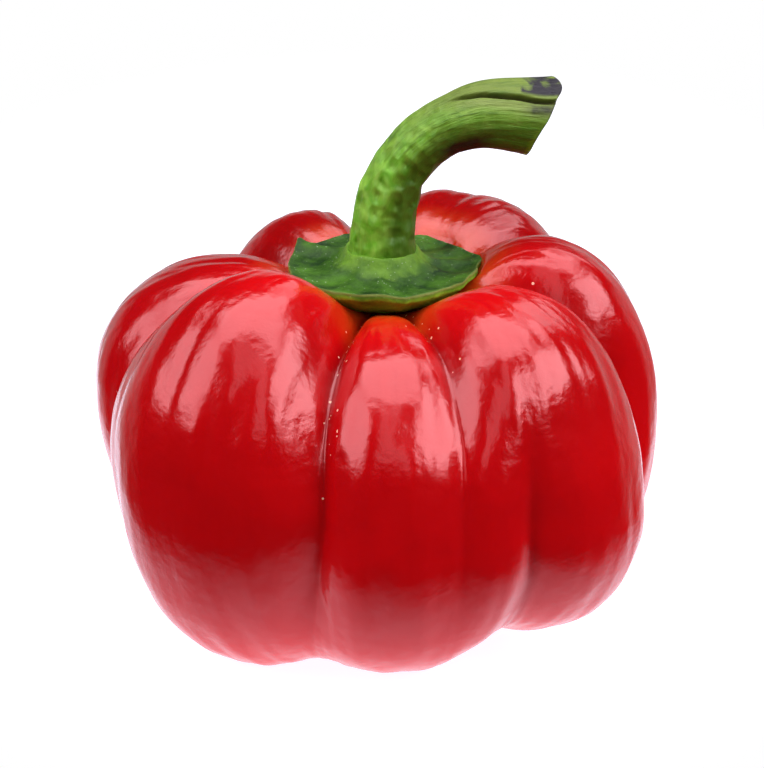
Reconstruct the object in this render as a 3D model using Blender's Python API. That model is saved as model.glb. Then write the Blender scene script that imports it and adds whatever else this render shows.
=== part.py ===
# A ripe bell pepper: the lobed fruit, its calyx and its cut stem, resting on the tips of its lobes.
# Lengths here are millimetres, turned to metres where a vertex is placed, and angles are degrees.
# A turn goes round the upright axis: 0 is the front, towards -Y, and 90 is towards +X.

import math
from collections import namedtuple

import bmesh
import bpy
import numpy as np

MM = 0.001

# Fruit: the crest of each lobe passes a shoulder, a belly and a foot, each a radius and a height
Lobe = namedtuple("Lobe", "shoulder belly foot")
LOBES = [
    Lobe((22.0, 55.8), (46.0, 28.2), (24.0, -0.3)),
    Lobe((25.0, 58.0), (46.3, 28.2), (23.5, 1.2)),
    Lobe((26.5, 60.7), (48.8, 27.2), (27.5, 4.5)),
    Lobe((28.0, 63.7), (45.5, 39.0), (23.0, -0.3)),
    Lobe((27.0, 64.5), (43.0, 35.0), (24.0, -0.3)),
    Lobe((26.0, 61.2), (42.5, 35.0), (24.0, -0.3)),
    Lobe((27.0, 60.0), (46.6, 38.5), (20.0, 1.5)),
    Lobe((26.5, 63.0), (49.8, 33.0), (24.0, -0.3)),
]

# Grooves: each starts the lobe of the same number. Its turns are at the shoulder, the belly and the foot,
# and its cut is how far it goes in at the shoulder, down there, in at the belly, in at the foot, up there.
Groove = namedtuple("Groove", "turns cut")
DEEP_CUT = (4.0, 5.8, 6.0, 4.0, 5.8)
GROOVES = [
    Groove((-13, -13, -21), (3.0, 5.0, 5.0, 1.2, 1.6)),
    Groove((13, 20, 17), (2.0, 3.0, 1.8, 0.0, 0.0)),
    Groove((36, 34, 38), (0.4, 0.6, 1.8, 2.0, 2.2)),
    Groove((70, 74, 74), (4.0, 4.5, 6.0, 4.0, 5.8)),
    Groove((118, 118, 118), DEEP_CUT),
    Groove((186, 186, 186), DEEP_CUT),
    Groove((235, 235, 235), DEEP_CUT),
    Groove((283, 280, 288), DEEP_CUT),
]
LOBE_ROUNDNESS = 2.4
SOFTENING = ((-2, 1), (-1, 2), (0, 3), (1, 2), (2, 1))
SEAT_HEIGHT = 53.4
DIMPLE_HEIGHT = 7.0
# The handles of the curves between those points, each a share of the radius or height that they cross
SEAT_HANDLE = 0.6
RISE_HANDLE = 0.55
TOP_HANDLE = 0.58
SIDE_HANDLE = 0.6
TUCK_HANDLE = 0.54
UNDER_HANDLE = 0.5
DIMPLE_HANDLE = 0.4

# Calyx: a disc with a thin uneven rim, and a thick underside that narrows to its foot on the fruit
CALYX_RIM = (15.2, 59.8)
CALYX_RIM_THICKNESS = 0.9
CALYX_FOOT = (8.0, 54.4)
CALYX_COLLAR = (5.6, 62.8)
CALYX_SLOPE = 2.2
# Past this distance outside the rim the fruit may rise again, this steeply
RIM_MARGIN = 0.8
RIM_STEEPNESS = 3.0
# Where the rim reaches out in a tip: its turn, how far out and how far up
RIM_TIPS = [
    (-117, 1.3, 1.8),
    (-60, 0.5, 0.2),
    (-28, 0.4, 0.0),
    (14, 0.6, -0.2),
    (58, 0.4, 0.0),
    (106, 1.0, 1.0),
    (152, 0.7, 0.3),
    (203, 0.7, 0.3),
]
TIP_WIDTH = 8
TIP_RISE_WIDTH = 14

# Stem: its centre line, in the plane from left to right, as distance to the right, height and radius
STEM_LINE = [
    (0.2, 63.1, 5.5),
    (0.5, 67.5, 5.1),
    (1.1, 72.3, 4.9),
    (2.8, 76.8, 4.6),
    (6.6, 81.2, 4.5),
    (11.0, 83.8, 4.7),
    (17.2, 85.2, 5.3),
    (25.9, 84.8, 6.2),
]
STEM_RIDGES = 5
STEM_RIDGE_HEIGHT = 0.18
# The cut end leans out at its top by this much, growing from this share of the length
STEM_CUT_LEAN = 2.7
LEAN_START = 0.75
STEM_PITH_DEPTH = 0.8
# The split that runs back from the cut end, on the front of the stem: its turn, half width and depth
SPLIT_TURN = 60
SPLIT_HALF_WIDTH = 11
SPLIT_DEPTH = 0.9
SPLIT_START = 0.6

# The clear space under the calyx
GAP = 0.35

# Meshes: columns round and rings down, and which shares of the stem's rings make its cut end and its base
COLUMN_WIDTH = 4
FRUIT_RINGS = 40
CALYX_MESH = (60, 14)
STEM_MESH = (30, 36)
END_RINGS = 0.12
BASE_RINGS = 0.1

FRUIT_RED = (0.50, 0.005, 0.008)
CALYX_GREEN = (0.035, 0.11, 0.02)
STEM_GREEN = (0.13, 0.27, 0.03)


def clear_scene():
    for item in list(bpy.data.objects):
        bpy.data.objects.remove(item)


def principled(name, colour, roughness):
    material = bpy.data.materials.new(name)
    material.use_nodes = True
    shader = material.node_tree.nodes["Principled BSDF"]
    shader.inputs["Base Color"].default_value = (*colour, 1.0)
    shader.inputs["Roughness"].default_value = roughness
    shader.inputs["Metallic"].default_value = 0.0
    return material


def clamp(value, low, high):
    return max(low, min(high, value))


def mix(start, end, share):
    return start + (end - start) * share


def bezier(p0, p1, p2, p3, share):
    # The point on a cubic curve, each point a pair of radius and height
    rest = 1.0 - share
    weights = (rest**3, 3 * rest**2 * share, 3 * rest * share**2, share**3)
    points = (p0, p1, p2, p3)
    return tuple(sum(w * p[axis] for w, p in zip(weights, points)) for axis in (0, 1))


def crest(index):
    return np.array(LOBES[index].shoulder + LOBES[index].belly + LOBES[index].foot)


def valley(index):
    # The bottom of a groove, cut from the lower of the two lobes that it parts
    one, other = crest(index - 1), crest(index)
    low, high = np.minimum(one, other), np.maximum(one, other)
    shoulder_in, shoulder_down, belly_in, foot_in, foot_up = GROOVES[index].cut
    return np.array(
        [
            low[0] - shoulder_in,
            low[1] - shoulder_down,
            low[2] - belly_in,
            (one[3] + other[3]) / 2,
            low[4] - foot_in,
            high[5] + foot_up,
        ]
    )


def groove_turn(index, level):
    # A level counts down the profile: 0 is the seat, 1 the shoulder, 2 the belly, 3 the foot, 4 the dimple
    top, side, base = GROOVES[index % len(GROOVES)].turns
    if level < 2:
        turn = mix(top, side, clamp(level - 1, 0, 1))
    else:
        turn = mix(side, base, clamp(level - 2, 0, 1))
    return turn + 360 * (index // len(GROOVES))


def sharp_profile(turn, level):
    index = 0
    turn = (turn - groove_turn(0, level)) % 360 + groove_turn(0, level)
    while turn >= groove_turn(index + 1, level):
        index += 1
    start, end = groove_turn(index, level), groove_turn(index + 1, level)
    share = (turn - start) / (end - start)
    bulge = 1 - abs(2 * share - 1) ** LOBE_ROUNDNESS
    left, right = valley(index), valley((index + 1) % len(LOBES))
    return mix(left, right, share) + (crest(index) - (left + right) / 2) * bulge


def profile(turn, level):
    total = sum(weight for _, weight in SOFTENING)
    return sum(sharp_profile(turn + off, level) * weight for off, weight in SOFTENING) / total


def lobe_columns():
    # How many columns of the mesh each lobe gets, by its width, so that one column runs down each groove
    starts = [groove_turn(index, 2) for index in range(len(LOBES) + 1)]
    return [round((end - start) / COLUMN_WIDTH) for start, end in zip(starts, starts[1:])]


def column_turn(column, level):
    for index, count in enumerate(lobe_columns()):
        if column < count:
            break
        column -= count
    return mix(groove_turn(index, level), groove_turn(index + 1, level), column / count)


def under_calyx(radius):
    # The height of the calyx's lower side, which the fruit stays beneath
    slope = (CALYX_RIM[1] - CALYX_RIM_THICKNESS - CALYX_FOOT[1]) / (CALYX_RIM[0] - CALYX_FOOT[0])
    height = CALYX_FOOT[1] + slope * max(radius - CALYX_FOOT[0], 0)
    return height + RIM_STEEPNESS * max(radius - CALYX_RIM[0] - RIM_MARGIN, 0) ** 2


def fruit_point(mesh_turn, share):
    level = 4 * share
    turn = column_turn(round(mesh_turn / 360 * sum(lobe_columns())), level)
    r_shoulder, z_shoulder, r_belly, z_belly, r_foot, z_foot = profile(turn, level)
    spans = (
        (
            (0, SEAT_HEIGHT),
            (SEAT_HANDLE * r_shoulder, SEAT_HEIGHT),
            (RISE_HANDLE * r_shoulder, z_shoulder),
            (r_shoulder, z_shoulder),
        ),
        (
            (r_shoulder, z_shoulder),
            (mix(r_shoulder, r_belly, TOP_HANDLE), z_shoulder),
            (r_belly, mix(z_belly, z_shoulder, SIDE_HANDLE)),
            (r_belly, z_belly),
        ),
        (
            (r_belly, z_belly),
            (r_belly, mix(z_belly, z_foot, SIDE_HANDLE)),
            (mix(r_foot, r_belly, TUCK_HANDLE), z_foot),
            (r_foot, z_foot),
        ),
        (
            (r_foot, z_foot),
            (UNDER_HANDLE * r_foot, z_foot),
            (DIMPLE_HANDLE * r_foot, DIMPLE_HEIGHT),
            (0, DIMPLE_HEIGHT),
        ),
    )
    step = min(int(level), 3)
    radius, height = bezier(*spans[step], level - step)
    # The lowest feet are pressed flat where they stand
    height = max(height, 0.0)
    if step < 2:
        height = min(height, under_calyx(radius) - GAP)
    return turned(turn, radius, height)


def turned(turn, radius, height):
    angle = math.radians(turn)
    return (radius * math.sin(angle), -radius * math.cos(angle), height)


def rim_at(turn):
    radius, lift = CALYX_RIM[0], 0.0
    for at, out, up in RIM_TIPS:
        off = (turn - at + 180) % 360 - 180
        radius += out * math.exp(-((off / TIP_WIDTH) ** 2))
        lift += up * math.exp(-((off / TIP_RISE_WIDTH) ** 2))
    return radius, CALYX_RIM[1] + lift


def calyx_point(turn, share):
    rim_radius, rim_height = rim_at(turn)
    collar_radius, collar_height = CALYX_COLLAR
    if share <= 0.5:
        radius = rim_radius * share / 0.5
        out = clamp((radius - collar_radius) / (rim_radius - collar_radius), 0, 1)
        drop = 1 - (1 - out) ** CALYX_SLOPE
        return turned(turn, radius, mix(collar_height, rim_height, drop))
    foot_radius, foot_height = CALYX_FOOT
    radius = rim_radius * (1 - share) / 0.5
    inward = clamp((rim_radius - radius) / (rim_radius - foot_radius), 0, 1)
    return turned(turn, radius, mix(rim_height - CALYX_RIM_THICKNESS, foot_height, inward))


def stem_section(share):
    # A smooth curve through the points of the centre line: position, direction and radius
    points = np.array(STEM_LINE)
    points = np.vstack([2 * points[0] - points[1], points, 2 * points[-1] - points[-2]])
    place = clamp(share, 0, 1) * (len(STEM_LINE) - 1)
    index = min(int(place), len(STEM_LINE) - 2)
    t = place - index
    p0, p1, p2, p3 = points[index : index + 4]
    first, second, third = (p2 - p0) / 2, p0 - 2.5 * p1 + 2 * p2 - p3 / 2, (3 * p1 - p0 - 3 * p2 + p3) / 2
    x, z, radius = p1 + first * t + second * t**2 + third * t**3
    dx, dz, _ = first + 2 * second * t + 3 * third * t**2
    length = math.hypot(dx, dz)
    return x, z, dx / length, dz / length, radius


def stem_point(turn, share):
    # The sphere's top pole becomes the middle of the cut end, and its bottom pole that of the base
    along = clamp((1 - BASE_RINGS - share) / (1 - BASE_RINGS - END_RINGS), 0, 1)
    x, z, dx, dz, radius = stem_section(along)
    inset = min(share / END_RINGS, (1 - share) / BASE_RINGS, 1.0)
    end = clamp((along - SPLIT_START) / (1 - SPLIT_START), 0, 1)
    angle = math.radians(turn)
    # A turn of 0 is the outside of the bend, and 90 the front
    radius += STEM_RIDGE_HEIGHT * math.cos(STEM_RIDGES * angle)
    off = (turn - SPLIT_TURN + 180) % 360 - 180
    radius -= SPLIT_DEPTH * end * math.exp(-((off / SPLIT_HALF_WIDTH) ** 2))
    near_end = clamp((along - LEAN_START) / (1 - LEAN_START), 0, 1)
    lean = STEM_CUT_LEAN * near_end**2 * math.cos(angle) * inset
    if share < END_RINGS:
        lean -= STEM_PITH_DEPTH * (1 - inset) ** 0.5
    across = radius * inset * math.cos(angle)
    return (
        x - dz * across + dx * lean,
        -radius * inset * math.sin(angle),
        z + dx * across + dz * lean,
    )


def make_piece(name, mesh_size, point_at, material, collection):
    # Each ring of a sphere, from its top pole down, is laid on the piece's own form
    around, along = mesh_size
    form = bmesh.new()
    bmesh.ops.create_uvsphere(form, u_segments=around, v_segments=along, radius=1.0)
    for vertex in form.verts:
        turn = math.degrees(math.atan2(vertex.co.x, -vertex.co.y)) % 360
        share = math.acos(clamp(vertex.co.z, -1, 1)) / math.pi
        vertex.co = [MM * value for value in point_at(turn, share)]
    bmesh.ops.recalc_face_normals(form, faces=form.faces)
    mesh = bpy.data.meshes.new(name)
    form.to_mesh(mesh)
    form.free()
    mesh.shade_smooth()
    mesh.materials.append(material)
    piece = bpy.data.objects.new(name, mesh)
    collection.objects.link(piece)
    return piece


def centre_over_origin(pieces):
    # The upright axis of the whole box goes through the origin, and the feet stay at height 0
    corners = np.array([vertex.co[:] for piece in pieces for vertex in piece.data.vertices])
    middle = (corners.min(axis=0) + corners.max(axis=0)) / 2
    for piece in pieces:
        piece.location = (-middle[0], -middle[1], 0.0)


def main():
    clear_scene()
    collection = bpy.data.collections.new("bell_pepper")
    bpy.context.scene.collection.children.link(collection)
    skin = principled("red skin", FRUIT_RED, 0.18)
    calyx = principled("calyx green", CALYX_GREEN, 0.55)
    stem = principled("stem green", STEM_GREEN, 0.5)
    centre_over_origin(
        [
            make_piece("fruit", (sum(lobe_columns()), FRUIT_RINGS), fruit_point, skin, collection),
            make_piece("calyx", CALYX_MESH, calyx_point, calyx, collection),
            make_piece("stem", STEM_MESH, stem_point, stem, collection),
        ]
    )


main()
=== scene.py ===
# Bell pepper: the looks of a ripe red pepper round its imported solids, and the studio it stands in
# Forms are worked out in millimetres and turned to metres where a mesh is made; turns are degrees
# round the upright axis, 0 to the camera (-Y) and 90 to the right (+X)

import math
from itertools import product

import bpy
import numpy as np
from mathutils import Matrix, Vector


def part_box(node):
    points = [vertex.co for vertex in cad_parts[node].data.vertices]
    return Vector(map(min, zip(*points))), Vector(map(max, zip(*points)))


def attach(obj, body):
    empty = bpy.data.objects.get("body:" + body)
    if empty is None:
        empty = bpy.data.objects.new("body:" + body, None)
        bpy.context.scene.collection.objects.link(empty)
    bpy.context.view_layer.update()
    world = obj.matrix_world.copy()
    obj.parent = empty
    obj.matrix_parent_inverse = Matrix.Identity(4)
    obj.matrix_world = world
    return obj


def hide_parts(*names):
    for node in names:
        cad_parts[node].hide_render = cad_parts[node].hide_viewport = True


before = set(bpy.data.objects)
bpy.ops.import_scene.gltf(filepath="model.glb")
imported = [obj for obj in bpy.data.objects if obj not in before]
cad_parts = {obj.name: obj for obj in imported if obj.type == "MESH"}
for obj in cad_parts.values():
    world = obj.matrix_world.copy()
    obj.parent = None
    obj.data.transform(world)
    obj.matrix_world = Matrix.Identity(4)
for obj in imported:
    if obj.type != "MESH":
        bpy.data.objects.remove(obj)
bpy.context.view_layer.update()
mm = 0.001
print("frame loaded:", sorted(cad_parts))


# Small helpers that every piece shares

def linear(hexColour):
    # sRGB hex to the linear colour that a shader takes
    parts = [int(hexColour[i:i + 2], 16) / 255 for i in (1, 3, 5)]
    return tuple(c / 12.92 if c <= 0.04045 else ((c + 0.055) / 1.055) ** 2.4 for c in parts) + (1.0,)


def addNode(tree, kind, settings, inputs):
    # One shader node: its settings, then each input as a value or as the socket that feeds it
    node = tree.nodes.new("ShaderNode" + kind)
    for name, value in settings.items():
        setattr(node, name, value)
    for name, value in inputs.items():
        if isinstance(value, bpy.types.NodeSocket):
            tree.links.new(value, node.inputs[name])
        else:
            node.inputs[name].default_value = value
    return node


def newMaterial(name, constants):
    # A material, with what is the same all over it set on its shader's own sockets
    material = bpy.data.materials.new(name)
    material.use_nodes = True
    tree = material.node_tree
    shader = tree.nodes["Principled BSDF"]
    for socket, value in constants.items():
        shader.inputs[socket].default_value = value
    return material, tree, shader


def mix(start, end, share):
    return start + (end - start) * share


def smoothStep(low, high, value):
    t = np.clip((value - low) / (high - low), 0, 1)
    return t * t * (3 - 2 * t)


def bell(off, width):
    return np.exp(-(off / width) ** 2)


def turnGap(turn, at):
    return (turn - at + 180) % 360 - 180


def noise(points, cell, seed):
    # Smooth random values from -1 to 1, with a new one every cell
    grid = np.random.default_rng(seed).uniform(-1, 1, (32, 32, 32))
    place = points / cell
    low = np.floor(place).astype(int)
    part = place - low
    part = part * part * (3 - 2 * part)
    total = 0
    for corner in product((0, 1), repeat=3):
        weight = np.prod(np.where(np.array(corner) == 1, part, 1 - part), axis=-1)
        i, j, k = np.moveaxis((low + corner) % 32, -1, 0)
        total = total + weight * grid[i, j, k]
    return total


def ripple(points, scale):
    # Noise of one scale, given as its size, height and seed
    size, height, seed = scale
    return height * noise(points, size, seed)


def onTurn(turn, radius, height):
    angle = np.radians(turn)
    return np.stack([radius * np.sin(angle), -radius * np.cos(angle), height], axis=-1)


def outward(points):
    # Normals of a grid of rings and columns that closes round its columns
    down = np.gradient(points, axis=0)
    around = np.roll(points, -1, axis=1) - np.roll(points, 1, axis=1)
    normal = np.cross(down, around)
    return normal / np.maximum(np.linalg.norm(normal, axis=-1, keepdims=True), 1e-9)


def meshOf(name, points, values):
    # A closed mesh from rings of points. The first and last rings are single points, its two ends.
    rings, columns = points.shape[:2]
    inner = points[1:-1].reshape(-1, 3)
    top, bottom = points[0].mean(axis=0), points[-1].mean(axis=0)
    vertices = np.vstack([top[None], inner, bottom[None]])
    index = 1 + np.arange((rings - 2) * columns).reshape(rings - 2, columns)
    beside = np.roll(index, -1, axis=1)
    quads = np.stack([index[:-1], index[1:], beside[1:], beside[:-1]], axis=-1).reshape(-1, 4)
    caps = [(0, a, b) for a, b in zip(index[0], beside[0])]
    caps += [(len(vertices) - 1, b, a) for a, b in zip(index[-1], beside[-1])]
    mesh = bpy.data.meshes.new(name)
    mesh.from_pydata(vertices.tolist(), [], quads.tolist() + [[int(v) for v in cap] for cap in caps])
    for key, grid in values.items():
        flat = np.concatenate([[grid[0].mean()], grid[1:-1].ravel(), [grid[-1].mean()]])
        mesh.attributes.new(key, "FLOAT", "POINT").data.foreach_set("value", flat.astype(np.float32))
    mesh.shade_smooth()
    piece = bpy.data.objects.new(name, mesh)
    bpy.context.scene.collection.objects.link(piece)
    return piece


# Fruit

fruit = {
    # each lobe's crest: shoulder radius and height, belly radius and height, foot radius and height,
    # then how square it is at the shoulder and from the belly down
    "lobes": [
        (22.0, 57.0, 46.0, 28.2, 23.6, -0.3, 3.4, 2.4),
        (25.0, 58.6, 46.4, 28.2, 23.6, -0.3, 3.0, 2.4),
        (26.5, 61.6, 48.9, 26.4, 29.2, 4.7, 3.0, 2.4),
        (25.8, 64.2, 45.3, 32.2, 22.0, 0.8, 2.6, 2.8),
        (27.0, 64.5, 43.0, 35.0, 25.0, -0.3, 2.6, 3.0),
        (26.0, 61.2, 42.5, 35.0, 26.0, 0.4, 2.1, 3.0),
        (24.6, 59.0, 48.1, 38.5, 17.0, 1.2, 2.0, 2.4),
        (26.5, 64.4, 50.0, 33.5, 28.4, -0.3, 2.4, 2.2),
    ],
    # of these pairs, counted from their first lobe, one shares its shoulder and one its foot
    "joinedShoulder": 1,
    "joinedFoot": 0,
    "parting": (1.25, 2.1),
    # each groove: its turns at shoulder, belly and foot, then its cut in and down at the shoulder,
    # in at the belly, in and up at the foot, and the levels between which it is a crease
    "grooves": [
        (-15, -12.5, -22, 2.6, 4.8, 5.0, 1.0, 1.9, 0.2, 2.2),
        (19.5, 16.5, 15, 1.4, 2.6, 1.2, 0.0, 0.0, 0.2, 1.7),
        (32, 31, 34, 0.0, 0.0, 1.5, 1.8, 2.2, 1.6, 2.7),
        (70, 74, 74, 4.0, 4.5, 6.0, 3.4, 5.0, 0.2, 3.2),
        (114, 114, 114, 4.0, 5.8, 6.0, 2.6, 3.8, 0.2, 3.2),
        (186, 186, 186, 4.0, 5.8, 5.4, 2.4, 3.4, 0.2, 3.2),
        (231, 231, 231, 4.0, 5.8, 5.4, 2.4, 3.4, 0.2, 3.2),
        (283, 280, 290, 4.0, 5.8, 6.0, 3.4, 4.6, 0.2, 3.2),
    ],
    # the skin is an average over these turns to either side, each with its weight
    "softening": ((-0.9, 1), (-0.45, 2), (0, 3), (0.45, 2), (0.9, 1)),
    "softerBelow": 7.0,  # this many times softer at the foot
    "softerLevels": (2.0, 2.7),
    "fades": (0.5, 0.6),  # levels over which a crease or a furrow starts, and ends
    # the crease mask: painted shade along the creases, and a little more roughness there
    "creaseWidth": 1.1,
    "dustWidth": 2.2,
    "dustShares": (1, 0.7, 0, 0.3, 0.1, 0.1, 0.1, 0.3),  # of dust grains in each groove
    "seatHeight": 53.4,
    "dimpleHeight": 7.0,
    "handles": {
        "seat": 0.6, "rise": 0.55, "top": 0.58, "side": 0.6, "tuck": 0.51, "under": 0.5, "dimple": 0.4,
    },
    "columnWidth": 0.7,  # degrees
    "rings": 190,
    "deepSide": (-105, 24),  # the left side's deeper red: turn and half width
    "deepLevels": (1.0, 1.8),
    "paintedBounceLevels": (0.9, 2.7),  # between which the red is painted brighter towards the bottom, as bounce light from below
    "crownRadius": (15, 23.5),  # between which the orange round the calyx ends
    "crownDrop": (1.25, 8),  # below this level it ends nearer the middle, by so much a level
    # painted light: a brighter red on the front shoulders, on the side that faces the lights
    "paintedLightShare": 0.44,
    "paintedLightTurns": (130, 60),
    "paintedLightLevel": (0.9, 0.32),  # level and half height
    # shallow furrows on the lobes: turn at top and bottom, half width, depth (below 0 for a rib), first
    # and last level
    "furrows": [
        (-24, -25, 4.0, -0.40, 1.0, 2.5),
        (-31, -32, 4.0, 0.30, 0.9, 3.0),
        (-39, -40, 3.5, -0.25, 1.1, 2.3),
        (-44, -45, 1.8, 0.30, 1.1, 2.1),
        (-50, -51, 3.5, -0.30, 1.1, 2.3),
        (-62, -63, 5.0, 0.50, 0.9, 2.8),
        (-5, -6, 3.0, 0.20, 1.2, 2.2),
        (12.5, 11, 1.8, 0.30, 1.1, 2.0),
        (46, 47, 2.5, 0.25, 1.0, 2.2),
        (55, 57, 4.0, 0.35, 0.9, 2.6),
        (96, 97, 8.0, 0.60, 0.7, 2.6),
        (152, 152, 9.0, 0.80, 0.6, 1.5),
        (210, 209, 7.0, 0.25, 0.7, 3.0),
        (258, 259, 7.0, 0.30, 0.7, 3.0),
    ],
    # uneven skin: size, height and seed of each scale of dent, and of each scale of lengthwise streak,
    # which is laid out on a drum of this radius
    "dents": [(11.0, 0.32, 11), (4.5, 0.10, 14), (2.0, 0.025, 16)],
    "streaks": [(5.0, 0.18, 12), (2.3, 0.14, 13), (1.1, 0.045, 15)],
    "streakRadius": 46,
    "streakLength": 9,  # as far along as one level
    "streakLevels": (0.5, 1.1),
}

calyx = {
    "rim": (15.0, 59.8),
    "thickness": 0.9,
    "ledge": (5.7, 0.7, 0.7),  # ring round the stem's foot: radius, width and height
    "foot": (8.0, 54.4),
    "collar": (5.7, 62.2),
    "slope": 4.2,
    # tips of the rim: turn, how far out, how far up and over how many degrees
    "tips": [
        (-118, 0.5, 1.9, 8),
        (-90, 0.0, 0.3, 14),
        (-66, 0.6, 0.2, 14),
        (-28, 0.6, 0.0, 14),
        (14, 0.8, -0.2, 14),
        (56, 0.7, 0.0, 14),
        (100, 1.8, 0.2, 12),
        (152, 1.0, 0.3, 14),
        (203, 1.0, 0.3, 14),
    ],
    "tipWidth": 8,
    # unevenness, each as size, height and seed: of the rim out and up, of the veins' turn, of the ledge's
    # height and of the whole surface
    "rimWaver": [(2.0, 0.22, 21), (4.0, 0.22, 22)],
    "veinWaver": (9, 2, 31),
    "ledgeWaver": (5, 0.5, 32),
    "bumps": [(2.2, 0.12, 41), (0.9, 0.05, 42)],
    "veins": 11,
    "veinHeight": 0.16,
    "lip": (0.25, 0.06),  # the raised rim: height and width
    "sag": (0.35, 0.5),  # of the top and of the underside
    "bulge": 0.12,
    "dryEdge": (0.018, 0.010),  # shares of the rings: how far above the edge's middle, and half width
    "shares": (0.56, 0.62),  # of the rings: where the top ends and the underside starts
    "columns": 300,
    "rings": 130,
    "gap": 0.35,  # left between it and the fruit
    "cover": (0.8, 3),  # how far past its rim the fruit stays beneath it, and how fast it may rise then
}


def grooveTurns(level):
    # Where each groove lies at each ring's level; the last is the first one again, a full turn on
    rows = np.array(fruit["grooves"])[:, :3]
    upper = mix(rows[:, 0], rows[:, 1], np.clip(level - 1, 0, 1)[..., None])
    lower = mix(rows[:, 1], rows[:, 2], np.clip(level - 2, 0, 1)[..., None])
    turns = np.where(level[..., None] < 2, upper, lower)
    return np.concatenate([turns, turns[..., :1] + 360], axis=-1)


def within(first, last, level):
    # 1 between two levels of the fruit, fading in after the first and out before the last
    fadeIn, fadeOut = fruit["fades"]
    return smoothStep(first, first + fadeIn, level) * (1 - smoothStep(last - fadeOut, last, level))


def valleys(crest, grooves):
    # Groove floors, each cut from the lower of the two lobes beside it
    before = np.roll(crest, 1, axis=0)
    low, high = np.minimum(crest, before), np.maximum(crest, before)
    inTop, downTop, inSide, inFoot, upFoot = grooves[:, 3:8].T
    rows = np.stack([
        low[:, 0] - inTop,
        low[:, 1] - downTop,
        low[:, 2] - inSide,
        (crest[:, 3] + before[:, 3]) / 2,
        low[:, 4] - inFoot,
        high[:, 5] + upFoot,
    ], axis=-1)
    return np.vstack([rows, rows[:1]])


def sharpProfile(turn, starts, level, crest, grooves):
    # The profile's six values at each turn, each falling from a lobe's crest to the grooves beside it
    valley = valleys(crest, grooves)
    first = starts[..., :1]
    turn = (turn[..., None] - first) % 360 + first
    index = np.clip((turn >= starts).sum(axis=-1) - 1, 0, len(crest) - 1)
    start = np.take_along_axis(starts, index[..., None], axis=-1)[..., 0]
    end = np.take_along_axis(starts, index[..., None] + 1, axis=-1)[..., 0]
    share = (turn[..., 0] - start) / (end - start)
    square = mix(crest[index, 6], crest[index, 7], smoothStep(0.8, 2, level))
    fall = np.abs(2 * share - 1) ** square
    side = np.where(share[..., None] < 0.5, valley[index], valley[index + 1])
    return mix(crest[index, :6], side, fall[..., None])


def lobeProfile(turn, starts, level):
    # The belly's values come from all the lobes, the shoulder's and the foot's with two of them joined,
    # and the two that share a shoulder part on the way to the belly
    crest, grooves = np.array(fruit["lobes"]), np.array(fruit["grooves"])
    belly = sharpProfile(turn, starts, level, crest, grooves)
    shoulder, foot = [
        sharpProfile(turn, np.delete(starts, joined + 1, axis=-1), level,
                     np.delete(crest, joined, axis=0), np.delete(grooves, joined + 1, axis=0))
        for joined in (fruit["joinedShoulder"], fruit["joinedFoot"])]
    parted = smoothStep(*fruit["parting"], level)[..., None]
    middle = mix(shoulder[..., 2:4], belly[..., 2:4], parted)
    return np.concatenate([shoulder[..., :2], middle, foot[..., 4:]], axis=-1)


def curve(p0, p1, p2, p3, t):
    rest = 1 - t
    return rest**3 * p0 + 3 * rest**2 * t * p1 + 3 * rest * t**2 * p2 + t**3 * p3


def underCalyx(radius):
    # The height of the calyx's lower side, which the fruit stays beneath
    (rimRadius, rimHeight), (footRadius, footHeight) = calyx["rim"], calyx["foot"]
    reach, rise = calyx["cover"]
    slope = (rimHeight - calyx["thickness"] - footHeight) / (rimRadius - footRadius)
    height = footHeight + slope * np.maximum(radius - footRadius, 0)
    return height + rise * np.maximum(radius - rimRadius - reach, 0) ** 2


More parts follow.
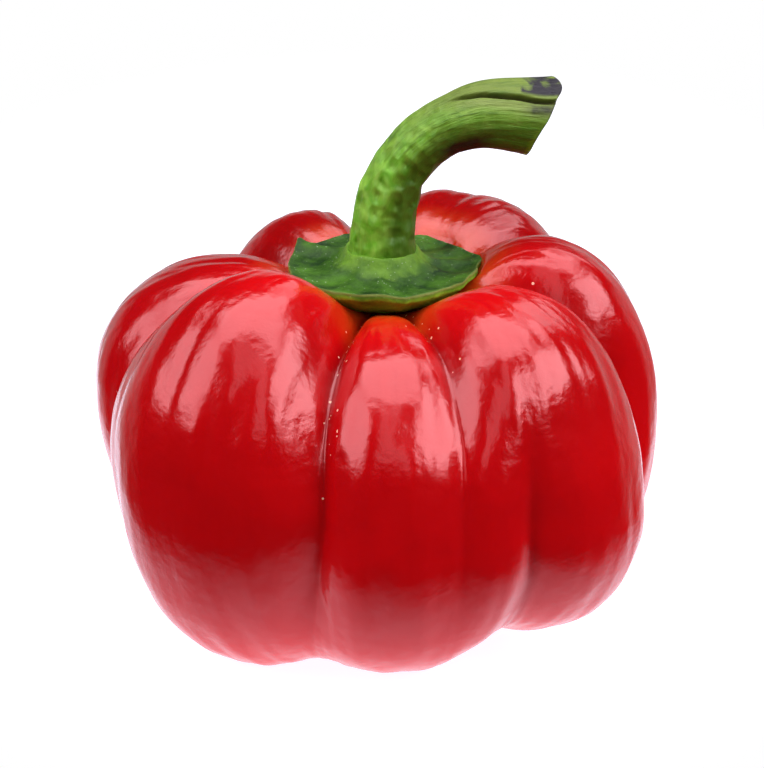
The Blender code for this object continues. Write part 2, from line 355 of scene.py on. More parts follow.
def fruitForm():
    level = np.linspace(0, 4, fruit["rings"])[:, None]
    starts = grooveTurns(level)
    belly = grooveTurns(np.array([[2.0]]))[0, 0]
    turns = []
    for index, width in enumerate(np.diff(belly)):
        columns = round(width / fruit["columnWidth"])
        turns.append(mix(starts[..., index], starts[..., index + 1], np.arange(columns) / columns))
    turn = np.concatenate(turns, axis=1)
    level = np.broadcast_to(level, turn.shape)
    starts = np.broadcast_to(starts, turn.shape + starts.shape[-1:])
    total = sum(weight for _, weight in fruit["softening"])
    wider = mix(1, fruit["softerBelow"], smoothStep(*fruit["softerLevels"], level))
    soft = sum(lobeProfile(turn + off * wider, starts, level) * weight
               for off, weight in fruit["softening"]) / total

    # Four curves run down from the seat to the shoulder, the belly, the foot and the dimple
    rShoulder, zShoulder, rBelly, zBelly, rFoot, zFoot = np.moveaxis(soft, -1, 0)
    h = fruit["handles"]
    seat, dimple, zero = fruit["seatHeight"], fruit["dimpleHeight"], np.zeros_like(turn)
    spans = [
        ((zero, seat + zero), (h["seat"] * rShoulder, seat + zero),
         (h["rise"] * rShoulder, zShoulder), (rShoulder, zShoulder)),
        ((rShoulder, zShoulder), (mix(rShoulder, rBelly, h["top"]), zShoulder),
         (rBelly, mix(zBelly, zShoulder, h["side"])), (rBelly, zBelly)),
        ((rBelly, zBelly), (rBelly, mix(zBelly, zFoot, h["side"])),
         (mix(rFoot, rBelly, h["tuck"]), zFoot), (rFoot, zFoot)),
        ((rFoot, zFoot), (h["under"] * rFoot, zFoot),
         (h["dimple"] * rFoot, dimple + zero), (zero, dimple + zero)),
    ]
    step = np.clip(level.astype(int), 0, 3)
    radius, height = zero.copy(), zero.copy()
    for index, span in enumerate(spans):
        here = step == index
        radius = np.where(here, curve(*[p[0] for p in span], level - step), radius)
        height = np.where(here, curve(*[p[1] for p in span], level - step), height)
    points = onTurn(turn, radius, height)

    # Furrows, dents and streaks move the skin in or out along its normal
    move = np.zeros_like(turn)
    for top, bottom, width, depth, first, last in fruit["furrows"]:
        line = mix(top, bottom, np.clip(level - 1, 0, 2) / 2)
        move -= depth * within(first, last, level) * bell(turnGap(turn, line), width)
    for scale in fruit["dents"]:
        move += ripple(points, scale)
    along = onTurn(turn, fruit["streakRadius"], level * fruit["streakLength"])
    for scale in fruit["streaks"]:
        move += ripple(along, scale) * smoothStep(*fruit["streakLevels"], level)
    points = points + outward(points) * move[..., None]
    radius = np.hypot(points[..., 0], points[..., 1])
    points[..., 2] = np.maximum(points[..., 2], 0)
    lid = np.where(level < 2, underCalyx(radius) - calyx["gap"], math.inf)
    points[..., 2] = np.minimum(points[..., 2], lid)
    points[0], points[-1] = points[0].mean(axis=0), points[-1].mean(axis=0)

    # What the skin's material reads
    off = turnGap(turn[..., None], starts[..., :-1]) * radius[..., None] * math.pi / 180
    first, last = np.array(fruit["grooves"])[:, 8:].T
    near = within(first, last, level[..., None])
    deepTurn, deepWidth = fruit["deepSide"]
    dropLevel, drop = fruit["crownDrop"]
    crownReach = radius + drop * np.maximum(level - dropLevel, 0)
    # Painted light on the front shoulders, full at the front and gone towards the back
    paintedLightLevel, paintedLightHeight = fruit["paintedLightLevel"]
    paintedLight = fruit["paintedLightShare"] * smoothStep(*fruit["paintedLightTurns"], np.abs(turnGap(turn, 0)))
    values = {
        # groove: where the creases run, for their painted shade and their roughness
        "groove": (bell(off, fruit["creaseWidth"]) * near).max(axis=-1),
        "dust": (bell(off, fruit["dustWidth"]) * near * fruit["dustShares"]).max(axis=-1),
        "crown": np.where(level > 2, 0, 1 - smoothStep(*fruit["crownRadius"], crownReach)),
        "deep": bell(turnGap(turn, deepTurn), deepWidth) * smoothStep(*fruit["deepLevels"], level),
        # foot: painted light, a brighter red lower down for bounce light from below, and on the front
        # shoulders for the lights that fall there
        "foot": smoothStep(*fruit["paintedBounceLevels"], level) + paintedLight * bell(level - paintedLightLevel, paintedLightHeight),
    }
    return points, values


# Calyx

def calyxForm():
    turn = np.linspace(0, 360, calyx["columns"], endpoint=False)[None, :]
    share = np.linspace(0, 1, calyx["rings"])[:, None]
    turn, share = np.broadcast_arrays(turn, share)
    rimRadius, rimHeight = calyx["rim"][0] + 0 * turn, calyx["rim"][1] + 0 * turn
    for at, out, up, width in calyx["tips"]:
        rimRadius = rimRadius + out * np.exp(-np.abs(turnGap(turn, at)) / calyx["tipWidth"])
        rimHeight = rimHeight + up * bell(turnGap(turn, at), width)
    ringPoint = onTurn(turn, calyx["rim"][0], 0 * turn)
    outWaver, upWaver = calyx["rimWaver"]
    rimRadius = rimRadius + ripple(ringPoint, outWaver)
    rimHeight = rimHeight + ripple(ringPoint, upWaver)
    topShare, edgeShare = calyx["shares"]
    topSag, lowSag = calyx["sag"]
    lipHeight, lipWidth = calyx["lip"]
    collarRadius, collarHeight = calyx["collar"]
    footRadius, footHeight = calyx["foot"]

    # The top, from the stem out to the rim
    topRadius = rimRadius * np.clip(share / topShare, 0, 1)
    out = np.clip((topRadius - collarRadius) / (rimRadius - collarRadius), 0, 1)
    topHeight = mix(collarHeight, rimHeight, 1 - (1 - out) ** calyx["slope"])
    vein = np.cos(np.radians(turn) * calyx["veins"] + ripple(ringPoint, calyx["veinWaver"]))
    topHeight += calyx["veinHeight"] * vein * out * (1 - out) * 4
    topHeight += lipHeight * bell(1 - out, lipWidth) - topSag * np.sin(math.pi * out)
    ledgeRadius, ledgeWidth, ledgeHeight = calyx["ledge"]
    uneven = 1 + ripple(ringPoint, calyx["ledgeWaver"])
    topHeight += ledgeHeight * uneven * bell(topRadius - ledgeRadius, ledgeWidth)

    # The underside, from the rim back in to the foot
    lowRadius = rimRadius * (1 - np.clip((share - edgeShare) / (1 - edgeShare), 0, 1))
    inward = np.clip((rimRadius - lowRadius) / (rimRadius - footRadius), 0, 1)
    lowHeight = mix(rimHeight - calyx["thickness"], footHeight, inward)
    lowHeight -= lowSag * np.sin(math.pi * inward)

    # Between top and underside the thin edge is rounded
    edge = np.clip((share - topShare) / (edgeShare - topShare), 0, 1)
    edgeRadius = rimRadius + calyx["bulge"] * np.sin(math.pi * edge)
    edgeHeight = mix(rimHeight + lipHeight, rimHeight - calyx["thickness"], edge)
    isTop, isEdge = share <= topShare, share < edgeShare
    radius = np.where(isTop, topRadius, np.where(isEdge, edgeRadius, lowRadius))
    height = np.where(isTop, topHeight, np.where(isEdge, edgeHeight, lowHeight))
    points = onTurn(turn, radius, height)
    bumps = sum(ripple(points, scale) for scale in calyx["bumps"])
    points = points + outward(points) * (bumps * smoothStep(0, 0.1, share))[..., None]
    points[0], points[-1] = points[0].mean(axis=0), points[-1].mean(axis=0)
    edgeRise, edgeWidth = calyx["dryEdge"]
    values = {
        "outward": out,
        "under": smoothStep(topShare, edgeShare, share),
        "inward": inward,
        "edge": bell(share - (topShare + edgeShare) / 2 + edgeRise, edgeWidth),
    }
    return points, values


# Stem

stem = {
    # centre line: distance to the right, height and radius
    "line": [
        (0.2, 63.1, 5.5),
        (0.5, 67.5, 5.1),
        (1.4, 72.3, 4.9),
        (3.2, 76.7, 4.6),
        (7.0, 81.0, 4.5),
        (11.3, 83.7, 4.7),
        (17.2, 85.2, 5.3),
        (25.5, 84.8, 6.2),
    ],
    "ridges": 5,
    "ridgeHeight": 0.18,
    "lean": 2.4,
    "leanStart": 0.75,
    "cutRounding": (0.8, 0.09),  # how deep, and over what share of the radius
    "pithDepth": 0.8,
    "sink": (1.1, 0.1),  # how far its base dips into the calyx, and over what share of its length
    # the split: turn and half width at its start and at the cut, depth, where it starts and is full
    "splitTurn": (24, 50),
    "splitHalfWidth": (1.4, 2.6),
    "splitDepth": 1.1,
    "splitSpan": (0.70, 0.84),
    "splitWaver": (3.5, 2.5, 55),  # size, degrees and seed
    # degrees from the split: its edges, then where the part above it starts and the part below it ends
    "splitEdge": 3,
    "aboveFade": (-170, -150),
    "belowFade": (20, 60),
    "flapHeight": 0.3,
    "flapReach": 0.8,  # how far the part above the split reaches past the part below it
    "belowReach": 0.4,
    "flapLobe": (22, 22),  # degrees above the split, and half width
    "flapNotch": (70, 30, 1.7),  # the same, and depth
    "dryFlap": ((-5, -13), (-105, -85)),  # degrees from the split where the dry tip starts and ends
    "bandPlace": (14, 10),  # degrees below the split, and half width, of the pale band painted on as a highlight
    # pebbles and strands: the radius and length that they are laid out on, then size, height and seed
    # of each scale, and where along the stem they fade or rise
    "girth": 5,
    "length": 42,
    "pebbles": [(2.4, 0.16, 51), (1.1, 0.09, 52)],
    "pebbleFade": (0.5, 0.75),
    "pebbleLoss": 0.7,
    "strands": [(0.35, 0.12, 53), (0.16, 0.08, 54)],
    "strandRise": (0.35, 0.7),
    "strandStretch": 0.6,
    "columns": 220,
    "rings": 300,
    "endRings": 0.12,  # shares of the rings that lie on the cut and on the base
    "baseRings": 0.06,
}


def stemLine(share):
    # A smooth curve through the points of the centre line: its place, its direction and its radius
    rows = np.array(stem["line"])
    rows = np.vstack([2 * rows[0] - rows[1], rows, 2 * rows[-1] - rows[-2]])
    place = np.clip(share, 0, 1) * (len(stem["line"]) - 1)
    index = np.minimum(place.astype(int), len(stem["line"]) - 2)
    t = (place - index)[..., None]
    p0, p1, p2, p3 = rows[index], rows[index + 1], rows[index + 2], rows[index + 3]
    first, second, third = (p2 - p0) / 2, p0 - 2.5 * p1 + 2 * p2 - p3 / 2, (3 * p1 - p0 - 3 * p2 + p3) / 2
    place = p1 + first * t + second * t**2 + third * t**3
    slope = first + 2 * second * t + 3 * third * t**2
    length = np.hypot(slope[..., 0], slope[..., 1])
    return place[..., 0], place[..., 1], slope[..., 0] / length, slope[..., 1] / length, place[..., 2]


def stemForm():
    turn = np.linspace(0, 360, stem["columns"], endpoint=False)[None, :]
    share = np.linspace(0, 1, stem["rings"])[:, None]
    turn, share = np.broadcast_arrays(turn, share)
    endRings, baseRings = stem["endRings"], stem["baseRings"]
    along = np.clip((1 - baseRings - share) / (1 - baseRings - endRings), 0, 1)
    x, z, dx, dz, radius = stemLine(along)
    angle = np.radians(turn)  # a turn of 0 is the outside of the bend, and 90 the front
    inset = np.minimum(np.minimum(share / endRings, (1 - share) / baseRings), 1)
    onCut = share < endRings

    # Pebbly below, stringy above, and ridged all along
    length = along * stem["length"]
    side = np.stack([np.cos(angle) * stem["girth"], np.sin(angle) * stem["girth"], length], axis=-1)
    for scale in stem["pebbles"]:
        fade = 1 - stem["pebbleLoss"] * smoothStep(*stem["pebbleFade"], along)
        radius = radius + ripple(side, scale) * fade
    strand = np.stack([np.cos(angle), np.sin(angle), along * stem["strandStretch"]], axis=-1)
    for scale in stem["strands"]:
        radius = radius + ripple(strand, scale) * smoothStep(*stem["strandRise"], along)
    radius = radius + stem["ridgeHeight"] * np.cos(stem["ridges"] * angle)

    # The split runs back from the cut, with a flap above it
    splitStart, splitFull = stem["splitSpan"]
    opened = smoothStep(splitStart, splitFull, along)
    splitAt = mix(*stem["splitTurn"], smoothStep(splitStart, 1, along))
    gap = turnGap(turn, splitAt + ripple(np.stack([length] * 3, axis=-1), stem["splitWaver"]))
    split = bell(gap, mix(*stem["splitHalfWidth"], opened)) * opened
    edge = stem["splitEdge"]
    above = smoothStep(edge, -edge, gap) * smoothStep(*stem["aboveFade"], gap)
    below = smoothStep(-edge, edge, gap) * (1 - smoothStep(*stem["belowFade"], gap))
    radius = radius - stem["splitDepth"] * split + stem["flapHeight"] * opened * (above - below)

    # The cut leans, its flap reaches out, its edge is rounded a little and its pith sunk
    nearEnd = np.clip((along - stem["leanStart"]) / (1 - stem["leanStart"]), 0, 1) ** 2
    lobeAt, lobeWidth = stem["flapLobe"]
    notchAt, notchWidth, notchDepth = stem["flapNotch"]
    flap = bell(gap + lobeAt, lobeWidth) - notchDepth * bell(gap + notchAt, notchWidth)
    reach = (stem["lean"] * np.cos(angle) + stem["flapReach"] * above * flap
             + stem["belowReach"] * below)
    lean = nearEnd * reach * inset
    lean = lean - np.where(onCut, stem["pithDepth"] * (1 - inset) ** 0.5, 0)
    roundDepth, roundWidth = stem["cutRounding"]
    lean = lean - roundDepth * bell(1 - inset, roundWidth) * onCut
    sinkDepth, sinkSpan = stem["sink"]
    z = z - sinkDepth * smoothStep(sinkSpan, 0, along)
    across = radius * inset * np.cos(angle)
    points = np.stack([x - dz * across + dx * lean, -radius * inset * np.sin(angle),
                       z + dx * across + dz * lean], axis=-1)
    points[0], points[-1] = points[0].mean(axis=0), points[-1].mean(axis=0)
    flapStart, flapEnd = stem["dryFlap"]
    bandAt, bandWidth = stem["bandPlace"]
    values = {
        "along": along,
        "inset": np.where(onCut, inset, 1),
        "split": split,
        "upper": 0.5 + 0.5 * np.cos(angle),
        "front": 0.5 + 0.5 * np.sin(angle),
        "flap": smoothStep(*flapStart, gap) * smoothStep(*flapEnd, gap) * opened,
        "band": bell(gap - bandAt, bandWidth) * opened,
    }
    return points[:, ::-1], {key: grid[:, ::-1] for key, grid in values.items()}


fruitPoints, fruitValues = fruitForm()
calyxPoints, calyxValues = calyxForm()
stemPoints, stemValues = stemForm()
low, high = (np.array(corner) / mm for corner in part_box("fruit"))
mine = fruitPoints.reshape(-1, 3)
place = (low + high) / 2 - (mine.min(axis=0) + mine.max(axis=0)) / 2
place[2] = 0
print("forms made, axis at", place.round(2))
skinPiece = meshOf("pepper_skin", (fruitPoints + place) * mm, fruitValues)
calyxPiece = meshOf("calyx_leaf", (calyxPoints + place) * mm, calyxValues)
stemPiece = meshOf("cut_stem", (stemPoints + place) * mm, stemValues)


# Materials. Pattern sizes and heights are in millimetres, and each range is given as its node's sockets.

colourMix = {"data_type": "RGBA"}
times = {"operation": "MULTIPLY"}
timesPlus = {"operation": "MULTIPLY_ADD"}
smoothRange = {"interpolation_type": "SMOOTHSTEP"}


def waxySkin():
    # Ripe capsicum skin: a smooth wax cuticle over red flesh, so sharp soft-edged reflections on a deep
    # clear red that turns orange where it was shaded by the calyx, with painted shade in its creases and
    # painted light lower down and on the front shoulders
    look = {
        # low is the brighter red painted in as light, lower down and on the front shoulders
        "deep": "#800003", "bright": "#980406", "deeper": "#5c0005", "low": "#ec0812",
        # groove is a darker red, painted into the creases as shade
        "groove": "#700003", "crown": "#c43c0e", "fleck": "#f0b8a0",
        "mottle": {"size": 14, "detail": 3.0},
        "patch": {"size": 6, "detail": 2.0},
        "wave": {"size": 2.2, "detail": 3.0},
        "pore": {"size": 0.45, "detail": 2.0},
        "waveHeight": 0.26,
        "poreHeight": 0.02,
        "creaseShadeShare": 0.35,
        "crownShare": 1.5,
        "dustSize": 1.2,
        "grainSize": {"To Min": 0.05, "To Max": 0.2},
        "grainChance": {"From Min": 0.05, "From Max": 0.9, "To Max": 0.5},
        "roughness": {"To Min": 0.12, "To Max": 0.2},
        "grooveRoughness": 0.04,
    }
    material, tree, shader = newMaterial("waxy capsicum skin", {
        "IOR": 1.5,
        "Specular IOR Level": 1.0,
        "Specular Tint": (1.0, 0.5, 0.52, 1.0),  # light passes the red cells under the wax twice
        "Subsurface Weight": 0.45,
        "Subsurface Radius": (8.0, 0.5, 0.25),
        "Subsurface Scale": mm,
    })
    where = addNode(tree, "TexCoord", {}, {}).outputs["Object"]
    groove, dust, crown, deep, foot = [
        addNode(tree, "Attribute", {"attribute_name": key}, {}).outputs["Fac"]
        for key in ("groove", "dust", "crown", "deep", "foot")]
    mottle, patch, wave, pore = [
        addNode(tree, "TexNoise", {}, {
            "Vector": where, "Scale": 1 / (look[key]["size"] * mm), "Detail": look[key]["detail"],
        }).outputs["Fac"]
        for key in ("mottle", "patch", "wave", "pore")]
    # Painted shade: the skin darkens to the groove red along the creases
    paintedCreaseShade = addNode(tree, "Math", times, {0: groove, 1: look["creaseShadeShare"]}).outputs[0]
    inCrown = crown
    for factor in (patch, look["crownShare"]):
        inCrown = addNode(tree, "Math", {**times, "use_clamp": True}, {0: inCrown, 1: factor}).outputs[0]
    # Dust grains caught in the grooves, drawn about twice their real size so that they show
    cells = addNode(tree, "TexVoronoi", {}, {
        "Vector": where, "Scale": 1 / (look["dustSize"] * mm), "Randomness": 1.0}).outputs
    chance = addNode(tree, "SeparateColor", {}, {"Color": cells["Color"]}).outputs
    size = addNode(tree, "MapRange", {}, {"Value": chance[1], **look["grainSize"]}).outputs[0]
    grain = addNode(tree, "Math", {"operation": "LESS_THAN"}, {0: cells["Distance"], 1: size}).outputs[0]
    share = addNode(tree, "MapRange", {}, {"Value": dust, **look["grainChance"]}).outputs[0]
    few = addNode(tree, "Math", {"operation": "LESS_THAN"}, {0: chance[0], 1: share}).outputs[0]
    flecks = addNode(tree, "Math", times, {0: grain, 1: few}).outputs[0]
    # Each colour lies over the ones before it
    colour = linear(look["deep"])
    for mask, over in ((mottle, "bright"), (deep, "deeper"), (foot, "low"), (paintedCreaseShade, "groove"),
                       (inCrown, "crown"), (flecks, "fleck")):
        colour = addNode(tree, "Mix", colourMix, {0: mask, 6: colour, 7: linear(look[over])}).outputs[2]
    tree.links.new(colour, shader.inputs["Base Color"])
    rough = addNode(tree, "MapRange", {}, {"Value": mottle, **look["roughness"]}).outputs[0]
    creased = addNode(tree, "Math", {**timesPlus, "use_clamp": True}, {
        0: groove, 1: look["grooveRoughness"], 2: rough})
    tree.links.new(creased.outputs[0], shader.inputs["Roughness"])
    waveBump = addNode(tree, "Bump", {}, {
        "Height": wave, "Strength": 0.5, "Distance": look["waveHeight"] * mm})
    poreBump = addNode(tree, "Bump", {}, {
        "Height": pore, "Strength": 0.15, "Distance": look["poreHeight"] * mm,
        "Normal": waveBump.outputs[0]})
    tree.links.new(poreBump.outputs[0], shader.inputs["Normal"])
    return material


def calyxTissue():
    # Calyx: thick leaf tissue, half matt and finely bumpy, dark green with a powdery bloom, a
    # yellow-green collar round the stem, a lighter underside, which looks olive in its own shade and is
    # painted lighter still as light against that shade, most where it meets the fruit, and a thin edge
    # that has dried
    look = {
        "dark": "#0f2c06", "light": "#41681a", "collar": "#78a430", "bloom": "#a8b898", "edge": "#76803c",
        # underDark, under and foot: the underside's green painted lighter, as light against the shade
        # beneath the rim; foot, where it meets the fruit, is the lightest
        "underDark": "#5a9222", "under": "#90c834", "foot": "#98ff38",
        "blotchSize": 4.5,
        "spread": {"From Min": 0.35, "From Max": 0.68},
        "collarReach": {"From Min": 0.74, "From Max": 0.34},
        "bloomSize": 0.8,
        "bloomGrain": {"From Min": 0.16, "From Max": 0.08},
        "roughness": {"To Min": 0.38, "To Max": 0.6},
        "grainSize": 0.6,
        "grainHeight": 0.2,
    }
    material, tree, shader = newMaterial("calyx leaf tissue", {
        "Specular IOR Level": 0.18,
        "Subsurface Weight": 0.08,
        "Subsurface Radius": (0.6, 1.0, 0.2),
        "Subsurface Scale": mm,
    })
    where = addNode(tree, "TexCoord", {}, {}).outputs["Object"]
    out, under, inward, edge = [
        addNode(tree, "Attribute", {"attribute_name": key}, {}).outputs["Fac"]
        for key in ("outward", "under", "inward", "edge")]
    blotch = addNode(tree, "TexNoise", {}, {
        "Vector": where, "Scale": 1 / (look["blotchSize"] * mm), "Detail": 5.0, "Roughness": 0.6,
    }).outputs["Fac"]
    spread = addNode(tree, "MapRange", {}, {"Value": blotch, **look["spread"]}).outputs[0]
    uneven = addNode(tree, "Math", {"operation": "ADD"}, {0: blotch, 1: out}).outputs[0]
    collar = addNode(tree, "MapRange", {}, {"Value": uneven, **look["collarReach"]}).outputs[0]
    cells = addNode(tree, "TexVoronoi", {}, {
        "Vector": where, "Scale": 1 / (look["bloomSize"] * mm), "Randomness": 1.0}).outputs
    grains = addNode(tree, "MapRange", {}, {"Value": cells["Distance"], **look["bloomGrain"]}).outputs[0]
    bloom = addNode(tree, "Math", times, {0: grains, 1: spread}).outputs[0]
    top, low = linear(look["dark"]), linear(look["underDark"])
    for mask, over in ((spread, "light"), (collar, "collar"), (bloom, "bloom")):
        top = addNode(tree, "Mix", colourMix, {0: mask, 6: top, 7: linear(look[over])}).outputs[2]
    # Painted light: the underside lightens towards its foot by the fruit, where the shade is deepest
    for mask, over in ((spread, "under"), (inward, "foot")):
        low = addNode(tree, "Mix", colourMix, {0: mask, 6: low, 7: linear(look[over])}).outputs[2]
    both = addNode(tree, "Mix", colourMix, {0: under, 6: top, 7: low}).outputs[2]
    edged = addNode(tree, "Mix", colourMix, {0: edge, 6: both, 7: linear(look["edge"])})
    tree.links.new(edged.outputs[2], shader.inputs["Base Color"])
    rough = addNode(tree, "MapRange", {}, {"Value": blotch, **look["roughness"]})
    tree.links.new(rough.outputs[0], shader.inputs["Roughness"])
    grain = addNode(tree, "TexNoise", {}, {
        "Vector": where, "Scale": 1 / (look["grainSize"] * mm), "Detail": 4.0}).outputs["Fac"]
    bump = addNode(tree, "Bump", {}, {
        "Height": grain, "Strength": 0.7, "Distance": look["grainHeight"] * mm})
    tree.links.new(bump.outputs[0], shader.inputs["Normal"])
    return material


def stemTissue():
    # Pepper stalk: fresh green rind with lengthwise fibres and a pebbly lower part, brown under the bend,
    # and a cut end that has dried purple-black; its lower half and the hollows of its dimples carry
    # painted shade, and the pale band below the split a painted highlight
    look = {
        "green": "#62a01e", "pale": "#8cb840", "shade": "#38560c", "top": "#68742e", "paleHighlight": "#7c8a44",
        "brown": "#2a1c0a", "dry": "#1c1620", "pith": "#8c9a55", "pithDark": "#5a5a2c",
        "blotchSize": 2.6,
        "dimpleSize": 1.9,
        "dimpleStretch": (1.0, 1.0, 0.65),
        "dimpleShade": {"From Min": 0.42, "From Max": 0.1, "To Max": 0.2},
        "dimpleHeight": 0.9,
        # fibres run round the stalk faster than along it
        "fibreStretch": (12.0, 12.0, 7.0),
        "fibreScale": 1.2,
        "fibreHeight": 0.5,
        "grainSize": 0.5,
        "grainHeight": 0.1,
        "unevenSide": 0.25,
        "unevenTip": 0.16,
        "paleHighlightShare": 0.7,
        "roughness": {"To Min": 0.32, "To Max": 0.55},
        # where each mask starts and is full
        "spread": {"From Min": 0.35, "From Max": 0.7},
        "litTop": {"From Min": 0.30, "From Max": 0.75, "To Max": 0.9},
        "fibreDark": {"From Min": 0.48, "From Max": 0.34, "To Max": 0.6},
        "fibrous": {"From Min": 0.3, "From Max": 0.7, "To Min": 0.25},
        "lowPart": {"From Min": 0.85, "From Max": 0.5, "To Min": 0.15},
        # the stalk's lower half is painted darker, as shade beneath the light from above
        "lowHalfShade": {"From Min": 0.64, "From Max": 0.34, "To Max": 0.85},
        "bend": {"From Min": 0.55, "From Max": 0.66},
        "beforeCut": {"From Min": 0.9, "From Max": 0.8},
        "lowSide": {"From Min": 0.46, "From Max": 0.36},
        "tip": {"From Min": 0.99, "From Max": 1.02},
        "tipSide": {"From Min": 1.17, "From Max": 1.11},
        "lowTip": {"From Min": 0.99, "From Max": 1.07, "To Max": 0.9},
        "onCut": {"From Min": 0.98, "From Max": 0.9},
    }
    material, tree, shader = newMaterial("fresh green stalk", {
        "Specular IOR Level": 0.3,
        "Subsurface Weight": 0.08,
        "Subsurface Radius": (0.6, 1.0, 0.2),
        "Subsurface Scale": mm,
    })
    where = addNode(tree, "TexCoord", {}, {}).outputs["Object"]
    value = {
        key: addNode(tree, "Attribute", {"attribute_name": key}, {}).outputs["Fac"]
        for key in ("along", "inset", "split", "upper", "front", "flap", "band")}
    value["blotch"] = addNode(tree, "TexNoise", {}, {
        "Vector": where, "Scale": 1 / (look["blotchSize"] * mm), "Detail": 4.0, "Distortion": 0.6,
    }).outputs["Fac"]
    # Lengthwise fibres, most of them past the bend
    lengthwise = addNode(tree, "CombineXYZ", {}, {
        "X": value["upper"], "Y": value["front"], "Z": value["along"]})
    stretched = addNode(tree, "VectorMath", times, {0: lengthwise.outputs[0], 1: look["fibreStretch"]})
    value["fibre"] = addNode(tree, "TexNoise", {}, {
        "Vector": stretched.outputs[0], "Scale": look["fibreScale"], "Detail": 4.0, "Roughness": 0.65,
    }).outputs["Fac"]
    # Shallow dimples between raised cords, like orange peel, fading towards the cut, with painted shade
    # in their hollows
    flattened = addNode(tree, "VectorMath", times, {0: where, 1: look["dimpleStretch"]})
    value["dimple"] = addNode(tree, "TexVoronoi", {"feature": "SMOOTH_F1"}, {
        "Vector": flattened.outputs[0], "Scale": 1 / (look["dimpleSize"] * mm),
        "Smoothness": 0.4, "Randomness": 1.0}).outputs["Distance"]
    value["dimpleShade"] = addNode(tree, "MapRange", smoothRange, {
        "Value": value["dimple"], **look["dimpleShade"]}).outputs[0]
    # Masks: uneven places, ranges of what they are read from, and products of two of them
    value["outer"] = addNode(tree, "Math", times, {0: value["along"], 1: value["upper"]}).outputs[0]
    for key, added in (("unevenSide", "upper"), ("unevenTip", "along")):
        value[key] = addNode(tree, "Math", timesPlus, {
            0: value["blotch"], 1: look[key], 2: value[added]}).outputs[0]
    for key, source in (
        ("spread", "blotch"), ("litTop", "outer"), ("fibreDark", "fibre"), ("fibrous", "along"),
        ("lowPart", "along"), ("lowHalfShade", "upper"), ("bend", "along"), ("beforeCut", "along"),
        ("lowSide", "unevenSide"), ("tipSide", "unevenSide"), ("tip", "unevenTip"),
        ("lowTip", "unevenTip"), ("onCut", "inset"),
    ):
        value[key] = addNode(tree, "MapRange", {}, {"Value": value[source], **look[key]}).outputs[0]
    for key, first, second in (
        ("fibreHere", "fibreDark", "fibrous"), ("fibreRise", "fibre", "fibrous"),
        ("dimpleHere", "dimpleShade", "lowPart"), ("dimpleRise", "dimple", "lowPart"),
        ("atBend", "bend", "beforeCut"), ("brownHere", "atBend", "lowSide"),
        ("flapTip", "tipSide", "flap"), ("dryFlap", "tip", "flapTip"),
    ):
        value[key] = addNode(tree, "Math", times, {0: value[first], 1: value[second]}).outputs[0]
    value["dryHere"] = addNode(tree, "Math", {**timesPlus, "use_clamp": True}, {
        0: value["lowTip"], 1: value["band"], 2: value["dryFlap"]}).outputs[0]
    # Painted highlight: the pale band on the lip below the split
    value["paleHighlightHere"] = addNode(tree, "Math", times, {
        0: value["band"], 1: look["paleHighlightShare"]}).outputs[0]
    # Each colour lies over the ones before it
    rind = linear(look["green"])
    for mask, over in (
        ("spread", "pale"), ("litTop", "top"), ("fibreHere", "shade"), ("dimpleHere", "shade"),
        ("lowHalfShade", "shade"), ("brownHere", "brown"), ("split", "brown"), ("paleHighlightHere", "paleHighlight"),
        ("dryHere", "dry"),
    ):
        rind = addNode(tree, "Mix", colourMix, {
            0: value[mask], 6: rind, 7: linear(look[over])}).outputs[2]
    pith = addNode(tree, "Mix", colourMix, {
        0: value["spread"], 6: linear(look["pithDark"]), 7: linear(look["pith"])})
    colour = addNode(tree, "Mix", colourMix, {0: value["onCut"], 6: rind, 7: pith.outputs[2]})
    tree.links.new(colour.outputs[2], shader.inputs["Base Color"])
    rough = addNode(tree, "MapRange", {}, {"Value": value["blotch"], **look["roughness"]})
    tree.links.new(rough.outputs[0], shader.inputs["Roughness"])
    grain = addNode(tree, "TexNoise", {}, {
        "Vector": where, "Scale": 1 / (look["grainSize"] * mm), "Detail": 3.0})
    dimpleBump = addNode(tree, "Bump", {}, {
        "Height": value["dimpleRise"], "Strength": 1.0, "Distance": look["dimpleHeight"] * mm})
    fibreBump = addNode(tree, "Bump", {}, {
        "Height": value["fibreRise"], "Strength": 0.8, "Distance": look["fibreHeight"] * mm,
        "Normal": dimpleBump.outputs[0]})
    bump = addNode(tree, "Bump", {}, {
        "Height": grain.outputs["Fac"], "Strength": 0.4, "Distance": look["grainHeight"] * mm,
        "Normal": fibreBump.outputs[0]})
    tree.links.new(bump.outputs[0], shader.inputs["Normal"])
    return material


for piece, material, node, slot in (
    (skinPiece, waxySkin(), "fruit", "skin"),
    (calyxPiece, calyxTissue(), "calyx", "calyx"),
    (stemPiece, stemTissue(), "stem", "stem"),
):
    piece.data.materials.append(material)
    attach(piece, "root")
    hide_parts(node)
print("pieces dressed")


# Studio, in metres

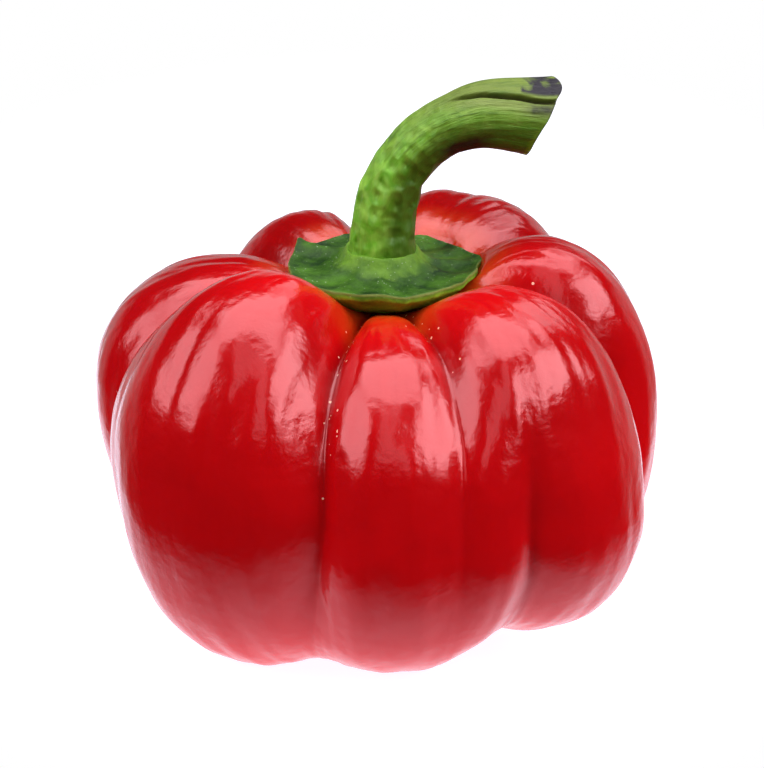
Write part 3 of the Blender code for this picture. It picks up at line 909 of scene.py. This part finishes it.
studio = {
    "floorColour": "#9a9aa2",
    "floorLight": "#bebfca",
    "floorGlow": 1.8,
    "floorPoints": 96,
    "floorMiddle": 0.13,  # behind the pepper
    "floorFade": (0.155, 0.21),  # it thins out to nothing between these radii
    "floorNarrow": 0.6,  # its width over its depth
    # soft boxes: turn, height angle, distance, width, height, radiance
    "boxes": [
        (-68, 34, 0.9, 0.96, 0.84, 3.8),
        (67, 37, 0.9, 1.22, 0.62, 5.5),
        (180, 88, 0.9, 1.64, 0.98, 4.2),
        (2, 46, 1.0, 0.44, 1.30, 1.1),
        (43, 20, 0.9, 0.30, 0.38, 1.4),
        (147, 44, 0.9, 0.60, 0.60, 1.9),
    ],
    "boxAim": 0.03,  # height that they point at
    "boxFade": {"From Min": 0.5, "From Max": 0.26},  # shares of a box's side, from its middle
    "lampColour": "#fafaff",
    "air": 0.02,
    # the white board behind: how far round it starts and is full, and how high it ends
    "boardSides": {"From Min": 0.3, "From Max": 0.8, "To Max": 0.45},
    "boardTop": {"From Min": 0.35, "From Max": 0.1},
    "backdrop": "#ffffff",
}

fadeStart, fadeEnd = studio["floorFade"]
bpy.ops.mesh.primitive_circle_add(vertices=studio["floorPoints"], radius=fadeEnd, fill_type="NGON",
                                  location=(0, studio["floorMiddle"], 0))
floor = bpy.context.object
floor.name = "studio_floor"
floorMaterial, floorTree, floorShader = newMaterial("matt white board", {
    "Base Color": linear(studio["floorColour"]),
    "Roughness": 0.7,
    "Specular IOR Level": 0.2,
    "Emission Color": linear(studio["floorLight"]),
    "Emission Strength": studio["floorGlow"],
})
# The board thins out to nothing at its edge, where the white backdrop takes over
spot = addNode(floorTree, "TexCoord", {}, {}).outputs["Object"]
widened = addNode(floorTree, "VectorMath", {"operation": "DIVIDE"}, {
    0: spot, 1: (studio["floorNarrow"], 1.0, 1.0)})
reach = addNode(floorTree, "VectorMath", {"operation": "LENGTH"}, {0: widened.outputs[0]})
board = addNode(floorTree, "MapRange", smoothRange, {
    "Value": reach.outputs["Value"], "From Min": fadeEnd, "From Max": fadeStart})
clear = addNode(floorTree, "BsdfTransparent", {}, {})
faded = addNode(floorTree, "MixShader", {}, {
    0: board.outputs[0], 1: clear.outputs[0], 2: floorShader.outputs[0]})
floorTree.links.new(faded.outputs[0], floorTree.nodes["Material Output"].inputs["Surface"])
floor.data.materials.append(floorMaterial)

middle = Vector((place[0] * mm, place[1] * mm, studio["boxAim"]))
for number, (turn, lift, distance, width, height, radiance) in enumerate(studio["boxes"]):
    lamp = bpy.data.lights.new(f"soft_box_{number}", "AREA")
    lamp.shape, lamp.size, lamp.size_y = "RECTANGLE", width, height
    lamp.color = linear(studio["lampColour"])[:3]
    lamp.energy = radiance * math.pi * width * height
    # Each box is brightest in its middle and soft at its edges
    lamp.use_nodes = True
    lampTree = lamp.node_tree
    onBox = addNode(lampTree, "NewGeometry", {}, {}).outputs["Parametric"]
    fromMiddle = addNode(lampTree, "VectorMath", {"operation": "SUBTRACT"}, {
        0: onBox, 1: (0.5, 0.5, 0.0)})
    sides = addNode(lampTree, "SeparateXYZ", {}, {0: fromMiddle.outputs[0]})
    fades = []
    for side in (0, 1):
        far = addNode(lampTree, "Math", {"operation": "ABSOLUTE"}, {0: sides.outputs[side]})
        fades.append(addNode(lampTree, "MapRange", smoothRange, {
            "Value": far.outputs[0], **studio["boxFade"]}).outputs[0])
    soft = addNode(lampTree, "Math", times, {0: fades[0], 1: fades[1]})
    lampTree.links.new(soft.outputs[0], lampTree.nodes["Emission"].inputs["Strength"])
    stand = bpy.data.objects.new(lamp.name, lamp)
    angle, rise = math.radians(turn), math.radians(lift)
    toward = Vector((math.sin(angle) * math.cos(rise), -math.cos(angle) * math.cos(rise), math.sin(rise)))
    stand.location = middle + toward * distance
    stand.rotation_euler = toward.to_track_quat("Z", "Y").to_euler()
    bpy.context.scene.collection.objects.link(stand)

world = bpy.data.worlds.new("studio air")
bpy.context.scene.world = world
world.use_nodes = True
air = world.node_tree
air.nodes.clear()
seen = addNode(air, "LightPath", {}, {}).outputs["Is Camera Ray"]
# The room is dark before the pepper, and a low white board stands behind it
heading = addNode(air, "SeparateXYZ", {}, {0: addNode(air, "TexCoord", {}, {}).outputs["Generated"]})
behind = addNode(air, "MapRange", smoothRange, {"Value": heading.outputs[1], **studio["boardSides"]})
lowDown = addNode(air, "MapRange", smoothRange, {"Value": heading.outputs[2], **studio["boardTop"]})
glow = addNode(air, "Math", timesPlus, {0: behind.outputs[0], 1: lowDown.outputs[0], 2: studio["air"]})
dim = addNode(air, "Background", {}, {"Color": linear(studio["backdrop"]), "Strength": glow.outputs[0]})
white = addNode(air, "Background", {}, {"Color": linear(studio["backdrop"]), "Strength": 1.0})
either = addNode(air, "MixShader", {}, {0: seen, 1: dim.outputs[0], 2: white.outputs[0]})
addNode(air, "OutputWorld", {}, {"Surface": either.outputs[0]})
bpy.context.scene.view_settings.view_transform = "Standard"


# Camera, at the photograph's angle

camera = {
    "distance": 700.0,
    "lift": 21.0,  # degrees above level
    "target": 31.2,  # height that the distance is measured to
    "aim": 39.3,  # height that the camera looks at
    "lens": 200.0,
    "farthest": 50.0,  # metres that it sees
}
rise = math.radians(camera["lift"])
eyeData = bpy.data.cameras.new("camera")
eyeData.lens, eyeData.clip_end = camera["lens"], camera["farthest"]
eye = bpy.data.objects.new("camera", eyeData)
axis = Vector((place[0], place[1], 0))
eye.location = (axis + Vector((0, -math.cos(rise) * camera["distance"],
                               camera["target"] + math.sin(rise) * camera["distance"]))) * mm
away = eye.location - (axis + Vector((0, 0, camera["aim"]))) * mm
eye.rotation_euler = away.to_track_quat("Z", "Y").to_euler()
bpy.context.scene.collection.objects.link(eye)
bpy.context.scene.camera = eye
print("studio lit, camera placed")
